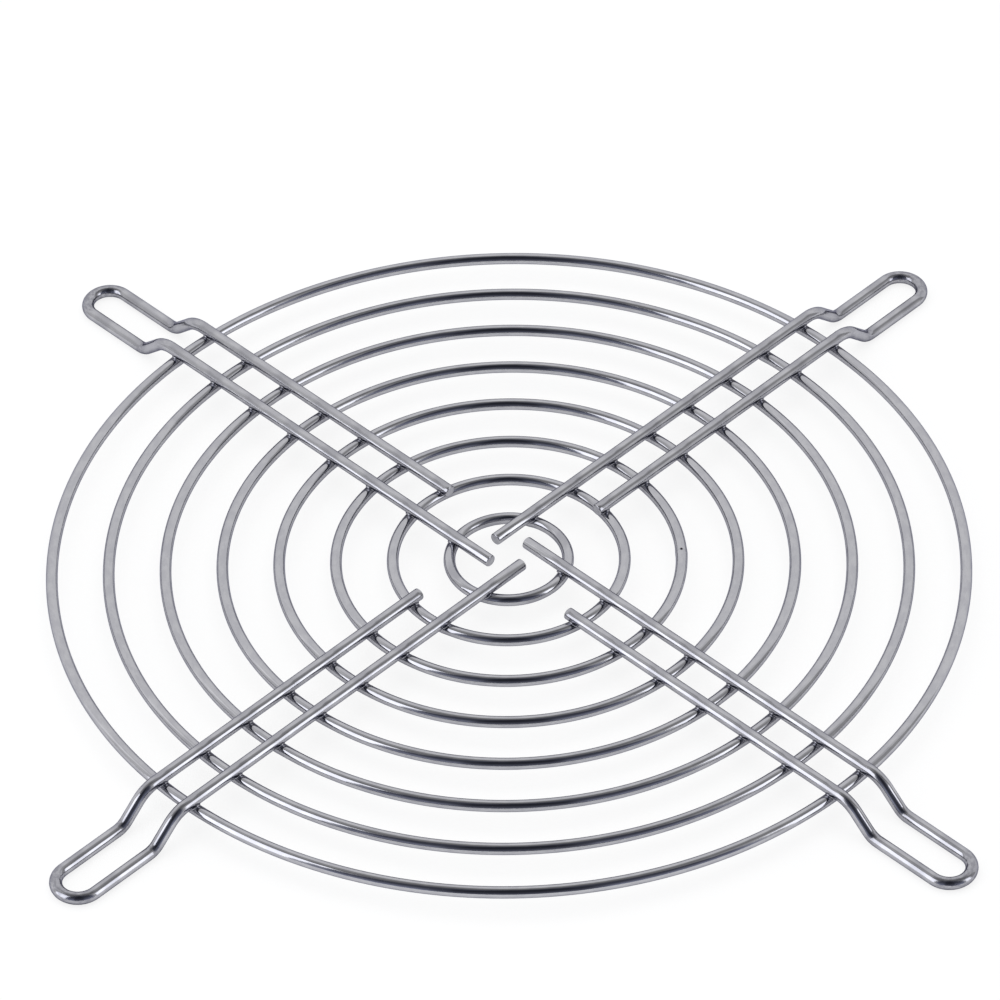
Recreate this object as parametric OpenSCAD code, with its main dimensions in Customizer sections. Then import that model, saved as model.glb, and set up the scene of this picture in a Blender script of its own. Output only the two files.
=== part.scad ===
// Wire finger guard for a square-framed axial fan.
// Eight closed rings lie in one plane.  Four hairpin spokes cross them on the diagonals
// and are resistance-welded to every ring they meet.  Past the outer ring both legs of a
// spoke step down towards the fan and join in a U-bend, which is the loop for its screw.
// All sizes are in millimetres.  Z = 0 is the face of the fan frame that the loops are
// screwed to, +Z points away from the fan, and X = Y = 0 is the fan's axis.

/* [Fan] */
// Distance between neighbouring screw holes of the fan frame
screw_spacing = 105; // [98:0.5:112]

/* [Rings] */
// Number of rings
ring_count = 8; // [5:1:9]
// Overall diameter of the outermost ring
guard_d = 117; // [108:0.5:122]
// Centre-line diameter of the innermost ring
first_ring_d = 15; // [12:0.5:20]
// Diameter of the ring wire
ring_wire_d = 1.5; // [1:0.1:2]

/* [Spokes] */
// Diameter of the spoke wire
spoke_wire_d = 1.6; // [1:0.1:2]
// Distance between the centre lines of the two legs of a spoke
leg_spacing = 5.6; // [4.4:0.1:6.4]
// Distance of the long leg's cut end from the fan's axis, measured along the spoke
long_leg_inset = 0.4; // [0:0.1:3]
// The innermost ring that the short leg is welded to
short_leg_ring = 2; // [2:1:4]
// How far the short leg's cut end stands in from the middle of its last weld
short_leg_overhang = 1.3; // [0.8:0.1:2.5]
// Chamfer on the cut ends of the spoke wire
end_chamfer = 0.2; // [0.05:0.05:0.4]
// How much thicker the spoke wire is where it has been bent
bend_growth = 0.04; // [0.02:0.01:0.1]
// How far the straight wire reaches into a bend, so that both are one solid
bend_bite = 0.1; // [0.05:0.01:0.12]
// How far a spoke sinks into the rings as it is welded to them
weld_set_down = 0.3; // [0.1:0.05:0.5]

/* [Joggles] */
// Height that a loop lies below the straight part of its spoke
joggle_drop = 3.6; // [3:0.1:5]
// Steepest slope of the joggle
joggle_angle = 42; // [30:1:50]
// Centre-line radius of the bend beside the outer ring
upper_bend_r = 4.2; // [2:0.1:5]
// Centre-line radius of the bend beside the loop
lower_bend_r = 2.4; // [1.5:0.1:3]
// Distance from the outer ring's edge to the start of the joggle
joggle_gap = 0.3; // [0.2:0.1:2]

/* [Hidden] */

// Smoothness of a wire's section and of a whole turn
section_fn = 32;
turn_fn = 180;

// Rings, from the innermost to the outermost
first_ring_r = first_ring_d / 2;
outer_ring_r = (guard_d - ring_wire_d) / 2;
ring_pitch = (outer_ring_r - first_ring_r) / (ring_count - 1);
function ring_r(i) = first_ring_r + (i - 1) * ring_pitch;

// Heights of the wires' centre lines above the fan frame
bend_wire_d = spoke_wire_d + bend_growth;
loop_z = bend_wire_d / 2;
spoke_z = loop_z + joggle_drop;
ring_z = spoke_z - (spoke_wire_d + ring_wire_d) / 2 + weld_set_down;

// Distances along a spoke, from the fan's axis outwards
leg_offset = leg_spacing / 2;
function crossing_x(i) = sqrt(pow(ring_r(i), 2) - pow(leg_offset, 2));
short_leg_inset = crossing_x(short_leg_ring) - short_leg_overhang;
joggle_x = guard_d / 2 + joggle_gap;
slope_length = (joggle_drop - (upper_bend_r + lower_bend_r) * (1 - cos(joggle_angle)))
    / sin(joggle_angle);
joggle_run = (upper_bend_r + lower_bend_r) * sin(joggle_angle)
    + slope_length * cos(joggle_angle);
loop_x = joggle_x + joggle_run;
screw_x = screw_spacing / sqrt(2);

// One ring: round wire bent to a circle, butt-welded closed and dressed flush
module ring(i) {
    translate([0, 0, ring_z])
        rotate_extrude($fn = turn_fn)
            translate([ring_r(i), 0])
                circle(d = ring_wire_d, $fn = section_fn);
}

// Straight spoke wire along X
module wire(from_x, to_x) {
    translate([from_x, 0, 0])
        rotate([0, 90, 0])
            cylinder(d = spoke_wire_d, h = to_x - from_x, $fn = section_fn);
}

// Cut end of the spoke wire at the origin, with its rim chamfered, reaching along +X
module cut_end() {
    rotate([0, 90, 0])
        cylinder(
            d1 = spoke_wire_d - 2 * end_chamfer, d2 = spoke_wire_d,
            h = end_chamfer, $fn = section_fn
        );
}

// Bent spoke wire that starts at the origin along +X and turns towards +Y
module bend(bend_r, angle) {
    translate([0, bend_r, 0])
        rotate([0, 0, -90])
            rotate_extrude(angle = angle, $fn = turn_fn)
                translate([bend_r, 0])
                    circle(d = bend_wire_d, $fn = section_fn);
}

// The step down from the spoke's straight part to the height of its loop
module joggle() {
    rotate([-90, 0, 0])
        bend(upper_bend_r, joggle_angle);
    translate([upper_bend_r * sin(joggle_angle), 0, -upper_bend_r * (1 - cos(joggle_angle))])
        rotate([0, joggle_angle, 0]) {
            wire(-bend_bite, slope_length + bend_bite);
            translate([slope_length, 0, 0])
                rotate([90, 0, 0])
                    bend(lower_bend_r, joggle_angle);
        }
}

// One leg of a spoke, from its cut end to the start of the U-bend
module leg(inset) {
    translate([inset, 0, spoke_z])
        cut_end();
    translate([0, 0, spoke_z])
        wire(inset + end_chamfer, joggle_x + bend_bite);
    translate([joggle_x, 0, spoke_z])
        joggle();
    translate([0, 0, loop_z])
        wire(loop_x - bend_bite, screw_x + bend_bite);
}

// A hairpin spoke lying along +X, seated on the rings where it is welded to them
module hairpin() {
    difference() {
        union() {
            translate([0, leg_offset, 0])
                leg(long_leg_inset);
            translate([0, -leg_offset, 0])
                leg(short_leg_inset);
            translate([screw_x, -leg_offset, loop_z])
                bend(leg_offset, 180);
        }
        for (i = [1:ring_count])
            ring(i);
    }
}

module spoke_back_right() {
    color("silver")
        rotate([0, 0, 45])
            hairpin();
}

module spoke_back_left() {
    color("silver")
        rotate([0, 0, 135])
            hairpin();
}

module spoke_front_left() {
    color("silver")
        rotate([0, 0, 225])
            hairpin();
}

module spoke_front_right() {
    color("silver")
        rotate([0, 0, 315])
            hairpin();
}

for (i = [1:ring_count])
    color("gainsboro") ring(i);
spoke_back_right();
spoke_back_left();
spoke_front_left();
spoke_front_right();
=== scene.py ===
import math
import random

import bmesh
import bpy
from mathutils import Matrix, Vector


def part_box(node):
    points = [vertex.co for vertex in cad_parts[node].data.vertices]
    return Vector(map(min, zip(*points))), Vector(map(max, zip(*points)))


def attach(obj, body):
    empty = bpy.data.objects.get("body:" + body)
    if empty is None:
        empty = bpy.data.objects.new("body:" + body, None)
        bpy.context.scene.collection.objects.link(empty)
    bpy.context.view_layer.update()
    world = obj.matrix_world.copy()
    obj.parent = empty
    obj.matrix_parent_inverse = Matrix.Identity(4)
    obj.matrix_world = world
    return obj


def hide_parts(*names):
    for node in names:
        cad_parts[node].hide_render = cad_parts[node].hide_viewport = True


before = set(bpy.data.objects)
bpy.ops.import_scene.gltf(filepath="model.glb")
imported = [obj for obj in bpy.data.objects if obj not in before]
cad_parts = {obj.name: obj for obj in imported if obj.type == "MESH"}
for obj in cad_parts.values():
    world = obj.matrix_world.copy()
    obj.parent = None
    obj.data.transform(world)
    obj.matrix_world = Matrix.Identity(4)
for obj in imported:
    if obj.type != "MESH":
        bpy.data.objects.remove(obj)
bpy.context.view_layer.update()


# ---------------------------------------------------------------- rings
# Eight closed rings of drawn steel wire, each rolled to a circle and butt-welded end to end.
# They lie in one plane, evenly spaced, and carry the bright plating of the finished guard.
ring_names = ["ring_%d" % number for number in range(1, 9)]
wire_sides = 24
# The smallest ring has this many steps, and a larger one more, by the root of its radius.
fewest_ring_steps = 96
smallest_ring_r = 0.0075
# A leg's distance from the middle of its spoke, and the legs, in degrees round the guard, that
# hide the rings' butt welds. Ring 3 has its weld in sight instead.
leg_offset = 0.0028
butt_weld_legs = [45, 225, None, 135, 315, 225, 45, 135]
bare_butt_weld = math.radians(1.3)
# How far each side of the joint a butt weld swells, in steps, and by how much.
butt_weld_swells = [(1.5, 1.012), (0.5, 1.045)]
# The radius of the sharpest bend in any wire, and the length over which a bend is softened.
tightest_bend = 0.0024
bend_reach = 0.0013


def drawn_wire(wire, closed):
    """Gives every corner its place in the wire when it was straight, and how bent it is now."""
    mesh = wire.data
    rows = len(mesh.vertices) // wire_sides
    centres = []
    for row in range(rows):
        ring_of_points = [
            mesh.vertices[row * wire_sides + side].co for side in range(wire_sides)
        ]
        centres.append(sum(ring_of_points, Vector()) / wire_sides)
    along = [0.0]
    for row in range(1, rows):
        along.append(along[-1] + (centres[row] - centres[row - 1]).length)
    full_length = along[-1] + (centres[0] - centres[-1]).length
    turns = [0.0] * rows
    for row in range(1, rows - 1):
        before = centres[row] - centres[row - 1]
        after = centres[row + 1] - centres[row]
        if not closed and before.dot(after) > 0:
            turns[row] = before.angle(after)
    # How bent the wire is at each row, as a share of the sharpest bend.
    bends = []
    for row in range(rows):
        turned = 0.0
        for other in range(rows):
            nearness = 1 - abs(along[other] - along[row]) / bend_reach
            turned += max(nearness, 0.0) * turns[other]
        bends.append(min(turned / bend_reach * tightest_bend, 1.0))
    places = [Vector()] * len(mesh.loops)
    joint_distances = [0.0] * len(mesh.loops)
    corner_bends = [0.0] * len(mesh.loops)
    for face in mesh.polygons:
        corners = list(face.loop_indices)
        face_rows = [mesh.loops[corner].vertex_index // wire_sides for corner in corners]
        wraps = closed and max(face_rows) - min(face_rows) > 1
        for corner, row in zip(corners, face_rows):
            vertex = mesh.loops[corner].vertex_index
            turn = 2 * math.pi * (vertex % wire_sides) / wire_sides
            reach = (mesh.vertices[vertex].co - centres[row]).length
            place = full_length if wraps and row == 0 else along[row]
            places[corner] = (place, reach * math.cos(turn), reach * math.sin(turn))
            joint_distances[corner] = min(place, full_length - place)
            corner_bends[corner] = bends[row]
    drawn = mesh.attributes.new("drawn_wire", "FLOAT_VECTOR", "CORNER")
    drawn.data.foreach_set("vector", [part for place in places for part in place])
    from_joint = mesh.attributes.new("from_joint", "FLOAT", "CORNER")
    from_joint.data.foreach_set("value", joint_distances)
    bent = mesh.attributes.new("bent", "FLOAT", "CORNER")
    bent.data.foreach_set("value", corner_bends)


def select_points(wire, chosen):
    """Selects, in edit mode, the points for which chosen(place) is true."""
    points = bmesh.from_edit_mesh(wire.data)
    for point in points.verts:
        point.select = chosen(point.co)
    points.select_flush_mode()
    bmesh.update_edit_mesh(wire.data)


plated_rings = []
for name, leg in zip(ring_names, butt_weld_legs):
    low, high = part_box(name)
    ring_wire_r = (high[2] - low[2]) / 2
    ring_z = (high[2] + low[2]) / 2
    ring_r = (high[1] - low[1]) / 2 - ring_wire_r
    steps = 8 * round(fewest_ring_steps / 8 * math.sqrt(ring_r / smallest_ring_r))
    start = bare_butt_weld
    if leg is not None:
        start = math.radians(leg) + math.asin(leg_offset / ring_r)
    bpy.ops.object.select_all(action="DESELECT")
    bpy.ops.mesh.primitive_circle_add(
        vertices=wire_sides,
        radius=ring_wire_r,
        fill_type="NOTHING",
        location=(ring_r * math.cos(start), ring_r * math.sin(start), ring_z),
        rotation=(math.pi / 2, 0, start),
    )
    ring = bpy.context.object
    ring.name = "plated_" + name
    bpy.ops.object.transform_apply(location=True, rotation=True, scale=True)
    bpy.ops.object.mode_set(mode="EDIT")
    bpy.ops.mesh.select_all(action="SELECT")
    bpy.ops.mesh.spin(
        steps=steps,
        angle=2 * math.pi,
        center=(0, 0, ring_z),
        axis=(0, 0, 1),
        use_auto_merge=True,
    )
    bpy.ops.mesh.select_all(action="SELECT")
    bpy.ops.mesh.normals_make_consistent(inside=False)
    # The butt weld is a low swelling round the joint.
    joint = Vector((ring_r * math.cos(start), ring_r * math.sin(start), ring_z))
    step_length = 2 * math.pi * ring_r / steps
    for reach, swell in butt_weld_swells:
        select_points(
            ring,
            lambda place: (place - joint).length < math.hypot(ring_wire_r, reach * step_length),
        )
        bpy.ops.transform.resize(value=(swell, swell, swell), center_override=joint)
    bpy.ops.object.mode_set(mode="OBJECT")
    drawn_wire(ring, closed=True)
    bpy.ops.object.shade_smooth()
    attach(ring, "root")
    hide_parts(name)
    plated_rings.append(ring)


# The plating on the rings: bright, slightly blue nickel-chrome over drawn wire. The fine lines of
# the drawing die and a faint unevenness run along it, and it is duller round each weld, where
# painted shade also darkens it.
plate_colour = (0.41, 0.41, 0.44)
plate_pale = (0.46, 0.46, 0.485)
plate_dull_and_shaded = (0.27, 0.27, 0.30)
plate_edge = (0.33, 0.33, 0.40)
plate_roughness = 0.08
dull_roughness = 0.19
# Heights of the relief in the plating, in millimetres.
waver_height = 0.030
die_line_height = 0.0032
grain_height = 0.0005
bend_mottle_height = 0.012
seam_depth = 0.02
pit_depth = 0.06
# How much the relief roughens it, and the mean of that, which is taken off again.
cloud_roughness = 0.07
die_line_roughness = 0.05
mean_relief_roughness = 0.05
# How dull and dark it is at its dullest: beside a weld, partly painted shade; where it is bent,
# partly a painted dark reflection; and along a butt weld's seam.
weld_dullness_and_shade = 0.45
bend_dullness_and_reflection = 0.95
seam_dullness = 0.3
# Where the dull zone round a weld, darkened with painted shade, starts to fade and where it has
# gone, from the weld's middle.
weld_zone = (0.0007, 0.0019)
# The same for a butt weld's seam, and for the pit on top of it, which only ring 3 shows.
seam_zone = (0.00006, 0.00016)
pit_zone = (0.00010, 0.00022)
pit_colour = (0.03, 0.03, 0.035)


def link_math(tree, operation, *values):
    """One Math node in a node tree, fed by sockets or by plain numbers."""
    node = tree.nodes.new("ShaderNodeMath")
    node.operation = operation
    for socket, value in zip(node.inputs, values):
        if isinstance(value, (int, float)):
            socket.default_value = value
        else:
            tree.links.new(value, socket)
    return node.outputs[0]


def link_range(tree, value, start, stop, low=0.0, high=1.0):
    """A smooth step from low to high as the value goes from start to stop."""
    node = tree.nodes.new("ShaderNodeMapRange")
    node.interpolation_type = "SMOOTHSTEP"
    node.inputs["From Min"].default_value = start
    node.inputs["From Max"].default_value = stop
    node.inputs["To Min"].default_value = low
    node.inputs["To Max"].default_value = high
    tree.links.new(value, node.inputs["Value"])
    return node.outputs["Result"]


def link_noise(tree, place, stretch, detail, roughness=0.5):
    """Noise over a stretched place."""
    mapping = tree.nodes.new("ShaderNodeMapping")
    mapping.vector_type = "POINT"
    mapping.inputs["Scale"].default_value = stretch
    tree.links.new(place, mapping.inputs["Vector"])
    noise = tree.nodes.new("ShaderNodeTexNoise")
    noise.inputs["Scale"].default_value = 1.0
    noise.inputs["Detail"].default_value = detail
    noise.inputs["Roughness"].default_value = roughness
    tree.links.new(mapping.outputs["Vector"], noise.inputs["Vector"])
    return noise.outputs["Fac"]


# Plating as a node group. Place, polish and the strength of the die's lines go in, and
# cloudiness, roughness and height come out.
plating_group = bpy.data.node_groups.new("bright_plating", "ShaderNodeTree")
sockets = plating_group.interface
sockets.new_socket("Place", in_out="INPUT", socket_type="NodeSocketVector")
sockets.new_socket("Polish", in_out="INPUT", socket_type="NodeSocketFloat")
sockets.new_socket("Die Lines", in_out="INPUT", socket_type="NodeSocketFloat")
sockets.new_socket("Clouds", in_out="OUTPUT", socket_type="NodeSocketFloat")
sockets.new_socket("Roughness", in_out="OUTPUT", socket_type="NodeSocketFloat")
sockets.new_socket("Height", in_out="OUTPUT", socket_type="NodeSocketFloat")
entry = plating_group.nodes.new("NodeGroupInput")
leave = plating_group.nodes.new("NodeGroupOutput")
place = entry.outputs["Place"]
die_lines = link_noise(plating_group, place, (70, 9000, 9000), 2.0, 0.6)
waver = link_noise(plating_group, place, (330, 420, 420), 1.0)
clouds = link_noise(plating_group, place, (500, 1100, 1100), 3.0, 0.6)
grain = link_noise(plating_group, place, (6500, 6500, 6500), 2.0, 0.6)
lines = link_math(plating_group, "MULTIPLY", die_lines, entry.outputs["Die Lines"])
height = link_math(plating_group, "MULTIPLY", waver, waver_height)
height = link_math(plating_group, "MULTIPLY_ADD", lines, die_line_height, height)
height = link_math(plating_group, "MULTIPLY_ADD", grain, grain_height, height)
rough = link_math(
    plating_group, "MULTIPLY_ADD", clouds, cloud_roughness, entry.outputs["Polish"]
)
rough = link_math(plating_group, "MULTIPLY_ADD", lines, die_line_roughness, rough)
rough = link_math(plating_group, "SUBTRACT", rough, mean_relief_roughness)
plating_group.links.new(link_range(plating_group, clouds, 0.36, 0.66), leave.inputs["Clouds"])
plating_group.links.new(rough, leave.inputs["Roughness"])
plating_group.links.new(height, leave.inputs["Height"])

# Bending stretches the plating and mottles it, and the mottled darkening there is in part a
# painted dark reflection.
# Place and how bent the wire is go in, and dullness with that painted reflection, and height,
# come out.
bend_and_reflection_group = bpy.data.node_groups.new("stretched_plating_and_reflection", "ShaderNodeTree")
sockets = bend_and_reflection_group.interface
sockets.new_socket("Place", in_out="INPUT", socket_type="NodeSocketVector")
sockets.new_socket("Bent", in_out="INPUT", socket_type="NodeSocketFloat")
sockets.new_socket("Dullness And Reflection", in_out="OUTPUT", socket_type="NodeSocketFloat")
sockets.new_socket("Height", in_out="OUTPUT", socket_type="NodeSocketFloat")
entry = bend_and_reflection_group.nodes.new("NodeGroupInput")
leave = bend_and_reflection_group.nodes.new("NodeGroupOutput")
mottle = link_noise(bend_and_reflection_group, entry.outputs["Place"], (1500, 2600, 2600), 3.0, 0.65)
mottled = link_range(bend_and_reflection_group, mottle, 0.38, 0.60, 0.35, 1.0)
stretch = link_range(bend_and_reflection_group, entry.outputs["Bent"], 0.25, 0.85)
bend_and_reflection_group.links.new(
    link_math(bend_and_reflection_group, "MULTIPLY", stretch, mottled), leave.inputs["Dullness And Reflection"]
)
bend_and_reflection_group.links.new(
    link_math(bend_and_reflection_group, "MULTIPLY", stretch, mottle), leave.inputs["Height"]
)

# The dull zone round each weld, also darkened there with painted shade, where a leg's line comes
# near a ring's circle.
# Place and the layout of the guard go in, and the nearness of a weld comes out.
weld_zone_group = bpy.data.node_groups.new("near_a_weld", "ShaderNodeTree")
sockets = weld_zone_group.interface
sockets.new_socket("Place", in_out="INPUT", socket_type="NodeSocketVector")
sockets.new_socket("Leg Offset", in_out="INPUT", socket_type="NodeSocketFloat")
sockets.new_socket("First Ring", in_out="INPUT", socket_type="NodeSocketFloat")
sockets.new_socket("Half Pitch", in_out="INPUT", socket_type="NodeSocketFloat")
sockets.new_socket("Nearness", in_out="OUTPUT", socket_type="NodeSocketFloat")
entry = weld_zone_group.nodes.new("NodeGroupInput")
leave = weld_zone_group.nodes.new("NodeGroupOutput")
parts = weld_zone_group.nodes.new("ShaderNodeSeparateXYZ")
weld_zone_group.links.new(entry.outputs["Place"], parts.inputs[0])
east, north = parts.outputs["X"], parts.outputs["Y"]
leg_distances = []
for operation in ("ADD", "SUBTRACT"):
    across = link_math(weld_zone_group, operation, east, north)
    across = link_math(weld_zone_group, "MULTIPLY", across, math.sqrt(0.5))
    across = link_math(weld_zone_group, "ABSOLUTE", across)
    across = link_math(weld_zone_group, "SUBTRACT", across, entry.outputs["Leg Offset"])
    leg_distances.append(link_math(weld_zone_group, "ABSOLUTE", across))
leg_distance = link_math(weld_zone_group, "MINIMUM", *leg_distances)
flat = weld_zone_group.nodes.new("ShaderNodeCombineXYZ")
weld_zone_group.links.new(east, flat.inputs["X"])
weld_zone_group.links.new(north, flat.inputs["Y"])
radius = weld_zone_group.nodes.new("ShaderNodeVectorMath")
radius.operation = "LENGTH"
weld_zone_group.links.new(flat.outputs[0], radius.inputs[0])
beyond = link_math(
    weld_zone_group, "SUBTRACT", radius.outputs["Value"], entry.outputs["First Ring"]
)
ring_distance = link_math(weld_zone_group, "PINGPONG", beyond, entry.outputs["Half Pitch"])
far = link_math(weld_zone_group, "MAXIMUM", leg_distance, ring_distance)
weld_zone_group.links.new(
    link_range(weld_zone_group, far, *weld_zone, 1.0, 0.0), leave.inputs["Nearness"]
)

first_ring_r = (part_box("ring_1")[1][1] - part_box("ring_1")[0][1]) / 2 - ring_wire_r
ring_pitch = (ring_r - first_ring_r) / (len(ring_names) - 1)


def plate(name, polish, die_depth, along_the_wire, butt_weld):
    """A plated finish, patterned along the wire, or over the object where the wire is melted."""
    material = bpy.data.materials.new(name)
    material.use_nodes = True
    tree = material.node_tree
    shader = tree.nodes["Principled BSDF"]
    shader.inputs["Metallic"].default_value = 1.0
    shader.inputs["Specular Tint"].default_value = (*plate_edge, 1)
    object_place = tree.nodes.new("ShaderNodeTexCoord").outputs["Object"]
    place = object_place
    if along_the_wire:
        drawn = tree.nodes.new("ShaderNodeAttribute")
        drawn.attribute_name = "drawn_wire"
        place = drawn.outputs["Vector"]
    plating = tree.nodes.new("ShaderNodeGroup")
    plating.node_tree = plating_group
    plating.inputs["Polish"].default_value = polish
    plating.inputs["Die Lines"].default_value = die_depth
    tree.links.new(place, plating.inputs["Place"])
    zone = tree.nodes.new("ShaderNodeGroup")
    zone.node_tree = weld_zone_group
    zone.inputs["Leg Offset"].default_value = leg_offset
    zone.inputs["First Ring"].default_value = first_ring_r
    zone.inputs["Half Pitch"].default_value = ring_pitch / 2
    tree.links.new(object_place, zone.inputs["Place"])
    cloud_mix = tree.nodes.new("ShaderNodeMix")
    cloud_mix.data_type = "RGBA"
    cloud_mix.inputs["A"].default_value = (*plate_colour, 1)
    cloud_mix.inputs["B"].default_value = (*plate_pale, 1)
    tree.links.new(plating.outputs["Clouds"], cloud_mix.inputs["Factor"])
    # Near a weld the plating is rougher and darker: duller metal, with painted shade round the
    # bead.
    dulled_and_shaded = link_math(tree, "MULTIPLY", zone.outputs["Nearness"], weld_dullness_and_shade)
    height = plating.outputs["Height"]
    if along_the_wire and not butt_weld:
        bent = tree.nodes.new("ShaderNodeAttribute")
        bent.attribute_name = "bent"
        bend_patches = tree.nodes.new("ShaderNodeGroup")
        bend_patches.node_tree = bend_and_reflection_group
        tree.links.new(place, bend_patches.inputs["Place"])
        tree.links.new(bent.outputs["Fac"], bend_patches.inputs["Bent"])
        # Where the wire is bent, the plating is mottled darker: stretched plating, and in part a
        # painted dark reflection.
        worn_and_reflection = link_math(tree, "MULTIPLY", bend_patches.outputs["Dullness And Reflection"], bend_dullness_and_reflection)
        dulled_and_shaded = link_math(tree, "MAXIMUM", dulled_and_shaded, worn_and_reflection)
        height = link_math(
            tree, "MULTIPLY_ADD", bend_patches.outputs["Height"], bend_mottle_height, height
        )
    if butt_weld:
        joint = tree.nodes.new("ShaderNodeAttribute")
        joint.attribute_name = "from_joint"
        seam = link_range(tree, joint.outputs["Fac"], *seam_zone, seam_dullness, 0.0)
        height = link_math(tree, "MULTIPLY_ADD", seam, -seam_depth, height)
        dulled_and_shaded = link_math(tree, "MAXIMUM", dulled_and_shaded, seam)
        across = tree.nodes.new("ShaderNodeSeparateXYZ")
        tree.links.new(place, across.inputs[0])
        from_top = link_math(tree, "SUBTRACT", across.outputs["Y"], ring_wire_r)
        from_top = link_math(tree, "MULTIPLY", from_top, from_top)
        aside = link_math(tree, "MULTIPLY", across.outputs["Z"], across.outputs["Z"])
        behind = link_math(tree, "MULTIPLY", joint.outputs["Fac"], joint.outputs["Fac"])
        from_pit = link_math(tree, "ADD", link_math(tree, "ADD", from_top, aside), behind)
        from_pit = link_math(tree, "SQRT", from_pit)
        pit = link_range(tree, from_pit, *pit_zone, 1.0, 0.0)
    # The dull colour darkens the plating near welds, bends and seams: partly real dullness,
    # partly painted shade and a painted dark reflection.
    dull_and_shade_mix = tree.nodes.new("ShaderNodeMix")
    dull_and_shade_mix.data_type = "RGBA"
    tree.links.new(dulled_and_shaded, dull_and_shade_mix.inputs["Factor"])
    tree.links.new(cloud_mix.outputs["Result"], dull_and_shade_mix.inputs["A"])
    dull_and_shade_mix.inputs["B"].default_value = (*plate_dull_and_shaded, 1)
    colour = dull_and_shade_mix.outputs["Result"]
    if butt_weld:
        pit_mix = tree.nodes.new("ShaderNodeMix")
        pit_mix.data_type = "RGBA"
        tree.links.new(pit, pit_mix.inputs["Factor"])
        tree.links.new(colour, pit_mix.inputs["A"])
        pit_mix.inputs["B"].default_value = (*pit_colour, 1)
        colour = pit_mix.outputs["Result"]
        height = link_math(tree, "MULTIPLY_ADD", pit, -pit_depth, height)
    tree.links.new(colour, shader.inputs["Base Color"])
    roughness = tree.nodes.new("ShaderNodeMix")
    roughness.inputs["B"].default_value = dull_roughness
    tree.links.new(dulled_and_shaded, roughness.inputs["Factor"])
    tree.links.new(plating.outputs["Roughness"], roughness.inputs["A"])
    tree.links.new(roughness.outputs["Result"], shader.inputs["Roughness"])
    bump = tree.nodes.new("ShaderNodeBump")
    bump.inputs["Strength"].default_value = 1.0
    bump.inputs["Distance"].default_value = 0.001
    tree.links.new(height, bump.inputs["Height"])
    tree.links.new(bump.outputs["Normal"], shader.inputs["Normal"])
    return material


ring_plating = plate("ring_plating", plate_roughness, 1.0, True, True)
for ring in plated_rings:
    ring.data.materials.append(ring_plating)


# ---------------------------------------------------------------- spokes
# Four hairpins of slightly thicker wire, laid across the rings with their legs side by side.
# Each is bent round a pin at its outer end, cranked down to the fan's face and cut off square.
screw_spacing = 0.105
spoke_wire_r = 0.0008
spoke_z = 0.00442
long_leg_inset = 0.0004
short_leg_overhang = 0.0013
joggle_start = 0.0588
joggle_angle = math.radians(42)
joggle_drop = 0.0036
upper_bend_r = 0.0042
lower_bend_r = 0.0024
# The cut end from the middle of its shallow dish to its rounded edge: how far the wire is fed,
# and the share of its full radius that it has there.
dish_bottom = 0.3
dish_depth = 0.00004
cut_end = [(-dish_depth, 0.6), (0.00001, 0.86), (0.00006, 0.96), (0.00012, 1.0)]
# Steps in the bends and in the straight wire between them.
crank_bend_steps = 10
slope_steps = 3
loop_leg_steps = 7
loop_bend_steps = 36
# The rows of points round each weld, and the flat that the welding electrode presses there.
flat_reach = 0.0007
weld_rows = [-flat_reach, -flat_reach * 0.55, 0, flat_reach * 0.55, flat_reach]
electrode_flat_z = spoke_z + spoke_wire_r - 0.00005
loop_centre = screw_spacing / math.sqrt(2)
slope_length = (
    joggle_drop - (upper_bend_r + lower_bend_r) * (1 - math.cos(joggle_angle))
) / math.sin(joggle_angle)
joggle_run = (upper_bend_r + lower_bend_r) * math.sin(joggle_angle) + (
    slope_length * math.cos(joggle_angle)
)
ring_radii = []
for name in ring_names:
    low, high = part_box(name)
    ring_radii.append((high[1] - low[1]) / 2 - (high[2] - low[2]) / 2)
crossings = [math.sqrt(radius**2 - leg_offset**2) for radius in ring_radii]
short_leg_inset = crossings[1] - short_leg_overhang


class WireEnd:
    """The end of the wire being worked: where it is and which way it points."""

    def __init__(self, place, heading):
        self.place = Vector(place)
        self.heading = Vector(heading)


def feed(end, length):
    """Draws the wire's end straight on by a length."""
    step = end.heading * length
    bpy.ops.mesh.extrude_region_move(TRANSFORM_OT_translate={"value": step})
    end.place += step


def feed_evenly(end, length, steps):
    """Draws it on by a length in equal steps."""
    for _ in range(steps):
        feed(end, length / steps)


def taper(end, factor):
    """Opens or closes the wire's end face about its own middle."""
    bpy.ops.transform.resize(value=(factor, factor, factor), center_override=end.place)


def level(end):
    """The direction square to the wire's end that turns a slope level again."""
    return Vector((-end.heading.z, 0, end.heading.x))


def bend(end, radius, angle, towards, steps):
    """Turns the wire's end round a pin that stands off it to one side."""
    pin = end.place + towards * radius
    axis = end.heading.cross(towards)
    bpy.ops.mesh.spin(steps=steps, angle=-angle, center=pin, axis=axis)
    turning = Matrix.Rotation(angle, 3, axis)
    end.place = pin + turning @ (end.place - pin)
    end.heading = turning @ end.heading


down = Vector((0, 0, -1))
up = Vector((0, 0, 1))
outwards = Vector((1, 0, 0))
to_the_short_leg = Vector((0, -1, 0))

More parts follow.
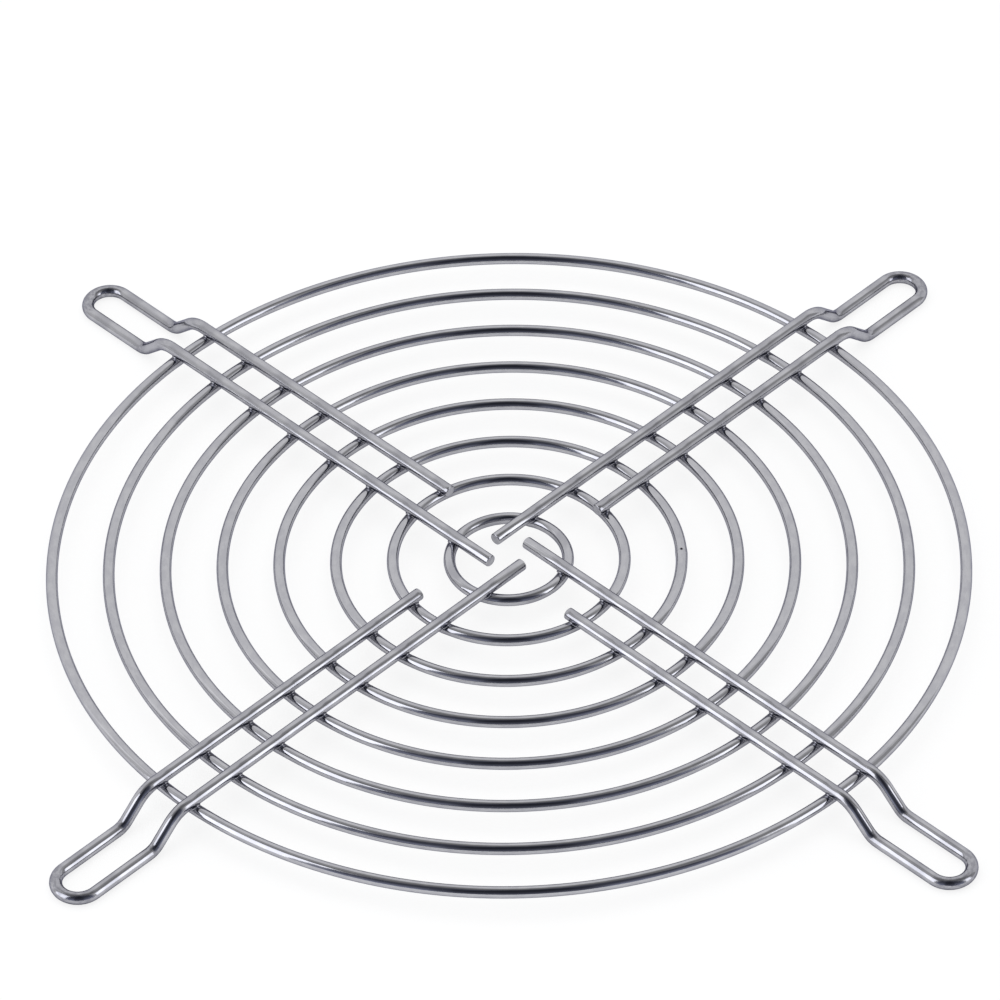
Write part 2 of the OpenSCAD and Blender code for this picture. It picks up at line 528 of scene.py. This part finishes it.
# The wire is fed out from the long leg's cut end, round the loop and back to the short leg's.
bpy.ops.object.select_all(action="DESELECT")
bpy.ops.mesh.primitive_circle_add(
    vertices=wire_sides,
    radius=spoke_wire_r * dish_bottom,
    fill_type="NGON",
    location=(long_leg_inset + dish_depth, leg_offset, spoke_z),
    rotation=(0, math.pi / 2, 0),
)
hairpin = bpy.context.object
bpy.ops.object.transform_apply(location=True, rotation=True, scale=True)
bpy.ops.object.mode_set(mode="EDIT")
bpy.ops.mesh.select_all(action="SELECT")
end = WireEnd((long_leg_inset + dish_depth, leg_offset, spoke_z), outwards)
share = dish_bottom
for length, next_share in cut_end:
    feed(end, length)
    taper(end, next_share / share)
    share = next_share
for crossing in crossings:
    for reach in weld_rows:
        feed(end, crossing + reach - end.place.x)
feed(end, joggle_start - end.place.x)
bend(end, upper_bend_r, joggle_angle, down, crank_bend_steps)
feed_evenly(end, slope_length, slope_steps)
bend(end, lower_bend_r, joggle_angle, level(end), crank_bend_steps)
feed_evenly(end, loop_centre - end.place.x, loop_leg_steps)
bend(end, leg_offset, math.pi, to_the_short_leg, loop_bend_steps)
feed_evenly(end, end.place.x - (joggle_start + joggle_run), loop_leg_steps)
bend(end, lower_bend_r, joggle_angle, up, crank_bend_steps)
feed_evenly(end, slope_length, slope_steps)
bend(end, upper_bend_r, joggle_angle, level(end), crank_bend_steps)
for crossing in reversed(crossings[1:]):
    for reach in reversed(weld_rows):
        feed(end, end.place.x - (crossing + reach))
cut_end_length = sum(length for length, share in cut_end[1:])
feed(end, end.place.x - (short_leg_inset + cut_end_length))
inner_shares = [dish_bottom] + [share for length, share in cut_end[:-1]]
for (length, share), next_share in zip(reversed(cut_end), reversed(inner_shares)):
    feed(end, length)
    taper(end, next_share / share)
bpy.ops.mesh.select_all(action="SELECT")
bpy.ops.mesh.normals_make_consistent(inside=False)
select_points(
    hairpin,
    lambda place: place.z > electrode_flat_z
    and min(abs(place.x - crossing) for crossing in crossings) < flat_reach * 0.7,
)
bpy.ops.transform.resize(value=(1, 1, 0), center_override=(0, 0, electrode_flat_z))
bpy.ops.object.mode_set(mode="OBJECT")
drawn_wire(hairpin, closed=False)
bpy.ops.object.shade_smooth_by_angle(angle=math.radians(35))

spoke_plating = plate("spoke_plating", plate_roughness, 1.0, True, False)
hairpin.data.materials.append(spoke_plating)
spoke_turns = {
    "spoke_back_right": 45,
    "spoke_back_left": 135,
    "spoke_front_left": 225,
    "spoke_front_right": 315,
}
for name, turn in spoke_turns.items():
    spoke = bpy.data.objects.new("plated_" + name, hairpin.data.copy())
    bpy.context.scene.collection.objects.link(spoke)
    spoke.data.transform(Matrix.Rotation(math.radians(turn), 4, "Z"))
    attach(spoke, "root")
    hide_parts(name)
bpy.data.objects.remove(hairpin)


# ---------------------------------------------------------------- welds
# Sixty resistance welds, one at each crossing of a leg and a ring. The wires sink a little into
# each other, and the metal squeezed out stands as a small saddle-shaped bead round the joint.
weld_z = (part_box("ring_1")[1][2] + spoke_z - spoke_wire_r) / 2
bead_reach = 0.00070
bead_r = 0.00016
bead_saddle = 0.00024
bead_segments = 16
bead_sides = 8
bead_roughness = 0.16
# No two beads are quite alike: their least and greatest breadth and height, as factors.
bead_breadths = (0.92, 1.06)
bead_heights = (0.9, 1.1)
bpy.ops.object.select_all(action="DESELECT")
bpy.ops.mesh.primitive_torus_add(
    major_radius=bead_reach,
    minor_radius=bead_r,
    major_segments=bead_segments,
    minor_segments=bead_sides,
    location=(0, 0, 0),
)
bead = bpy.context.object
# It dips under the leg, against the ring's sides, and rises over the ring, against the leg's.
bpy.ops.object.mode_set(mode="EDIT")
for segment in range(bead_segments):
    around = 2 * math.pi * segment / bead_segments
    select_points(
        bead,
        lambda place: abs(
            math.remainder(math.atan2(place.y, place.x) - around, 2 * math.pi)
        ) < math.pi / bead_segments,
    )
    bpy.ops.transform.translate(value=(0, 0, -bead_saddle * math.cos(2 * around)))
bpy.ops.object.mode_set(mode="OBJECT")
bpy.ops.object.shade_smooth()
weld_plating = plate("weld_plating", bead_roughness, 0.0, False, False)
bead.data.materials.append(weld_plating)

uneven = random.Random(12)
for name, turn in spoke_turns.items():
    beads = []
    for side, leg_crossings in ((1, crossings), (-1, crossings[1:])):
        for crossing in leg_crossings:
            copy = bpy.data.objects.new("bead", bead.data.copy())
            bpy.context.scene.collection.objects.link(copy)
            lean = math.atan2(side * leg_offset, crossing) / 2
            along_leg = uneven.uniform(*bead_breadths)
            across_leg = uneven.uniform(*bead_breadths)
            size = Matrix.Diagonal((along_leg, across_leg, uneven.uniform(*bead_heights), 1))
            shape = Matrix.Rotation(lean, 4, "Z") @ size
            place = Matrix.Translation((crossing, side * leg_offset, weld_z))
            copy.data.transform(Matrix.Rotation(math.radians(turn), 4, "Z") @ place @ shape)
            beads.append(copy)
    bpy.ops.object.select_all(action="DESELECT")
    for copy in beads:
        copy.select_set(True)
    bpy.context.view_layer.objects.active = beads[0]
    bpy.ops.object.join()
    welds = bpy.context.object
    welds.name = name.replace("spoke", "welds")
    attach(welds, "root")
bpy.data.objects.remove(bead)


# ---------------------------------------------------------------- floor
# A plain white sheet that the guard lies on. It shows white to the camera and to the plating,
# and keeps the guard's soft shadow.
floor_size = 6.0
floor_colour = (0.9, 0.9, 0.9)
white_to_camera = 0.82
white_to_metal = 0.3
bpy.ops.object.select_all(action="DESELECT")
bpy.ops.mesh.primitive_plane_add(size=floor_size, location=(0, 0, 0))
floor = bpy.context.object
floor.name = "floor"
floor_material = bpy.data.materials.new("floor")
floor_material.use_nodes = True
tree = floor_material.node_tree
tree.nodes.clear()
out = tree.nodes.new("ShaderNodeOutputMaterial")
diffuse = tree.nodes.new("ShaderNodeBsdfDiffuse")
diffuse.inputs["Color"].default_value = (*floor_colour, 1)
glow = tree.nodes.new("ShaderNodeEmission")
paths = tree.nodes.new("ShaderNodeLightPath")
seen = link_math(tree, "MULTIPLY", paths.outputs["Is Camera Ray"], white_to_camera)
mirrored = link_math(
    tree, "MAXIMUM", paths.outputs["Is Glossy Ray"], paths.outputs["Is Transmission Ray"]
)
mirrored = link_math(tree, "MULTIPLY", mirrored, white_to_metal)
white_share = link_math(tree, "MAXIMUM", seen, mirrored)
mix = tree.nodes.new("ShaderNodeMixShader")
tree.links.new(white_share, mix.inputs["Fac"])
tree.links.new(diffuse.outputs[0], mix.inputs[1])
tree.links.new(glow.outputs[0], mix.inputs[2])
tree.links.new(mix.outputs[0], out.inputs["Surface"])
floor.data.materials.append(floor_material)


# ---------------------------------------------------------------- studio light
# A white tent: bright walls behind and beside the guard, dimmer towards its top, and an unlit,
# slightly blue opening in front, with the camera's dark shape in its middle. The tables give
# the brightness at a bearing, or at a height above the floor, in degrees.
tent_brightness = 1.37
opening_tint = (0.88, 0.94, 1.22)
wall_by_bearing = [
    (-180, 0.60), (-165, 0.50), (-140, 0.50), (-35, 0.50), (-10, 0.62), (-4, 0.36),
    (12, 0.36), (20, 0.72), (67, 0.76), (97, 0.72), (112, 0.77), (127, 0.84), (142, 0.94),
    (158, 1.0), (166, 0.95), (172, 0.60), (180, 0.60),
]
tent_by_height = [(-90, 1.0), (38, 1.0), (51, 0.72), (62, 0.50), (75, 0.34), (90, 0.22)]
opening_by_bearing = [
    (-180, 0.0), (-139, 0.0), (-131, 1.0), (-40, 1.0), (-32, 0.0), (180, 0.0),
]
opening_by_height = [
    (-90, 0.45), (0, 0.37), (7, 0.29), (22, 0.18), (37, 0.10), (52, 0.065), (68, 0.07),
    (90, 0.12),
]
lens_by_bearing = [(-180, 1.0), (-110, 1.0), (-104, 0.42), (-74, 0.42), (-68, 1.0), (180, 1.0)]
world = bpy.data.worlds.new("studio")
bpy.context.scene.world = world
world.use_nodes = True
tree = world.node_tree
tree.nodes.clear()
coords = tree.nodes.new("ShaderNodeTexCoord")
direction = tree.nodes.new("ShaderNodeSeparateXYZ")
tree.links.new(coords.outputs["Generated"], direction.inputs[0])


def grade(tree, position, stops, low, high):
    """A grey ramp over degrees, for a position that runs from 0 at low to 1 at high."""
    ramp = tree.nodes.new("ShaderNodeValToRGB")
    elements = ramp.color_ramp.elements
    while len(elements) < len(stops):
        elements.new(0.5)
    for element, (degrees, value) in zip(elements, stops):
        element.position = (degrees - low) / (high - low)
        element.color = (value, value, value, 1)
    tree.links.new(position, ramp.inputs["Fac"])
    return ramp.outputs["Color"]


bearing = link_math(tree, "ARCTAN2", direction.outputs["Y"], direction.outputs["X"])
bearing = link_math(tree, "MULTIPLY_ADD", bearing, 1 / (2 * math.pi), 0.5)
height = link_math(tree, "ARCSINE", direction.outputs["Z"])
height = link_math(tree, "MULTIPLY_ADD", height, 1 / math.pi, 0.5)
walls = link_math(
    tree,
    "MULTIPLY",
    grade(tree, bearing, wall_by_bearing, -180, 180),
    grade(tree, height, tent_by_height, -90, 90),
)
opening = link_math(
    tree,
    "MULTIPLY",
    grade(tree, height, opening_by_height, -90, 90),
    grade(tree, bearing, lens_by_bearing, -180, 180),
)
opening_share = grade(tree, bearing, opening_by_bearing, -180, 180)
walls = link_math(tree, "MULTIPLY", walls, link_math(tree, "SUBTRACT", 1.0, opening_share))
opening = link_math(tree, "MULTIPLY", opening, opening_share)
tent = link_math(tree, "ADD", walls, opening)
tent = link_math(tree, "MULTIPLY", tent, tent_brightness)
tint = tree.nodes.new("ShaderNodeMix")
tint.data_type = "RGBA"
tint.inputs["A"].default_value = (1, 1, 1, 1)
tint.inputs["B"].default_value = (*opening_tint, 1)
background = tree.nodes.new("ShaderNodeBackground")
output = tree.nodes.new("ShaderNodeOutputWorld")
tree.links.new(opening_share, tint.inputs["Factor"])
tree.links.new(tint.outputs["Result"], background.inputs["Color"])
tree.links.new(tent, background.inputs["Strength"])
tree.links.new(background.outputs["Background"], output.inputs["Surface"])

# Two tall softboxes stand on the floor at the sides of the opening and draw the bright streaks
# along the wires. A wide lamp overhead lights the floor and isn't mirrored.
softbox_distance = 0.6
softbox_colour = (0.97, 0.99, 1.05)
overhead_size = 1.2
overhead_height = 1.0
overhead_energy = 8.0


def softbox(name, bearing_deg, width_deg, height, radiance):
    """A tall lamp standing on the floor, facing the guard."""
    lamp_data = bpy.data.lights.new(name, "AREA")
    lamp_data.shape = "RECTANGLE"
    lamp_data.size = 2 * softbox_distance * math.tan(math.radians(width_deg / 2))
    lamp_data.size_y = height
    lamp_data.energy = radiance * math.pi * lamp_data.size * lamp_data.size_y
    lamp_data.color = softbox_colour
    lamp = bpy.data.objects.new(name, lamp_data)
    bpy.context.scene.collection.objects.link(lamp)
    bearing = math.radians(bearing_deg)
    outward = Vector((math.cos(bearing), math.sin(bearing), 0.0))
    across = up.cross(outward)
    facing = Matrix((across, up, outward)).transposed().to_4x4()
    middle = outward * softbox_distance + up * (height / 2)
    lamp.matrix_world = Matrix.Translation(middle) @ facing


overhead_data = bpy.data.lights.new("overhead", "AREA")
overhead_data.shape = "SQUARE"
overhead_data.size = overhead_size
overhead_data.energy = overhead_energy
overhead = bpy.data.objects.new("overhead", overhead_data)
overhead.location = (0, 0, overhead_height)
overhead.visible_glossy = False
bpy.context.scene.collection.objects.link(overhead)
softbox("softbox_left", 206, 35, 0.85, 1.6)
softbox("softbox_right", 338, 18, 0.50, 1.5)

# A white card stands close behind the guard, for the plating to mirror. It fades out towards
# its top, so that no edge of it shows in the wires.
card_distance = 0.22
card_width = 1.8
card_height = 0.80
card_foot = 0.002
card_solid_to = 0.36
card_gone_at = 0.66
card_radiance = 1.04
bpy.ops.object.select_all(action="DESELECT")
bpy.ops.mesh.primitive_plane_add(size=1.0, rotation=(math.pi / 2, 0, 0))
card = bpy.context.object
card.name = "white_card"
card.scale = (card_width, card_height, 1)
card.location = (0, card_distance, card_height / 2 + card_foot)
bpy.ops.object.transform_apply(location=True, rotation=True, scale=True)
card.visible_camera = False
card.visible_shadow = False
card.visible_diffuse = False
card_material = bpy.data.materials.new("white_card")
card_material.use_nodes = True
tree = card_material.node_tree
tree.nodes.clear()
card_place = tree.nodes.new("ShaderNodeTexCoord").outputs["Object"]
card_parts = tree.nodes.new("ShaderNodeSeparateXYZ")
tree.links.new(card_place, card_parts.inputs[0])
fade = link_range(tree, card_parts.outputs["Z"], card_solid_to, card_gone_at)
card_glow = tree.nodes.new("ShaderNodeEmission")
card_glow.inputs["Strength"].default_value = card_radiance
clear = tree.nodes.new("ShaderNodeBsdfTransparent")
mix = tree.nodes.new("ShaderNodeMixShader")
out = tree.nodes.new("ShaderNodeOutputMaterial")
tree.links.new(fade, mix.inputs["Fac"])
tree.links.new(card_glow.outputs[0], mix.inputs[1])
tree.links.new(clear.outputs[0], mix.inputs[2])
tree.links.new(mix.outputs[0], out.inputs["Surface"])
card.data.materials.append(card_material)


# ---------------------------------------------------------------- camera
# A long lens looks down at the guard from the front, over the two front screw loops, from
# about 0.8 m away and with a slight roll.
azimuth = math.radians(0.2145)
elevation = math.radians(43.25)
roll = math.radians(-1.1346)
camera_distance = 0.81156
aim = Vector((-0.000998, 0.010893, 0.00317))
camera_data = bpy.data.cameras.new("camera")
camera_data.lens = 228.8
camera_data.sensor_width = 36.0
camera_data.clip_start = 0.01
camera = bpy.data.objects.new("camera", camera_data)
bpy.context.scene.collection.objects.link(camera)
bpy.context.scene.camera = camera
back = Vector((
    math.sin(azimuth) * math.cos(elevation),
    -math.cos(azimuth) * math.cos(elevation),
    math.sin(elevation),
))
level_right = Vector((math.cos(azimuth), math.sin(azimuth), 0.0))
level_up = back.cross(level_right)
right = math.cos(roll) * level_right + math.sin(roll) * level_up
above = math.cos(roll) * level_up - math.sin(roll) * level_right
facing = Matrix((right, above, back)).transposed().to_4x4()
camera.matrix_world = Matrix.Translation(aim + back * camera_distance) @ facing
bpy.context.scene.view_settings.view_transform = "Standard"
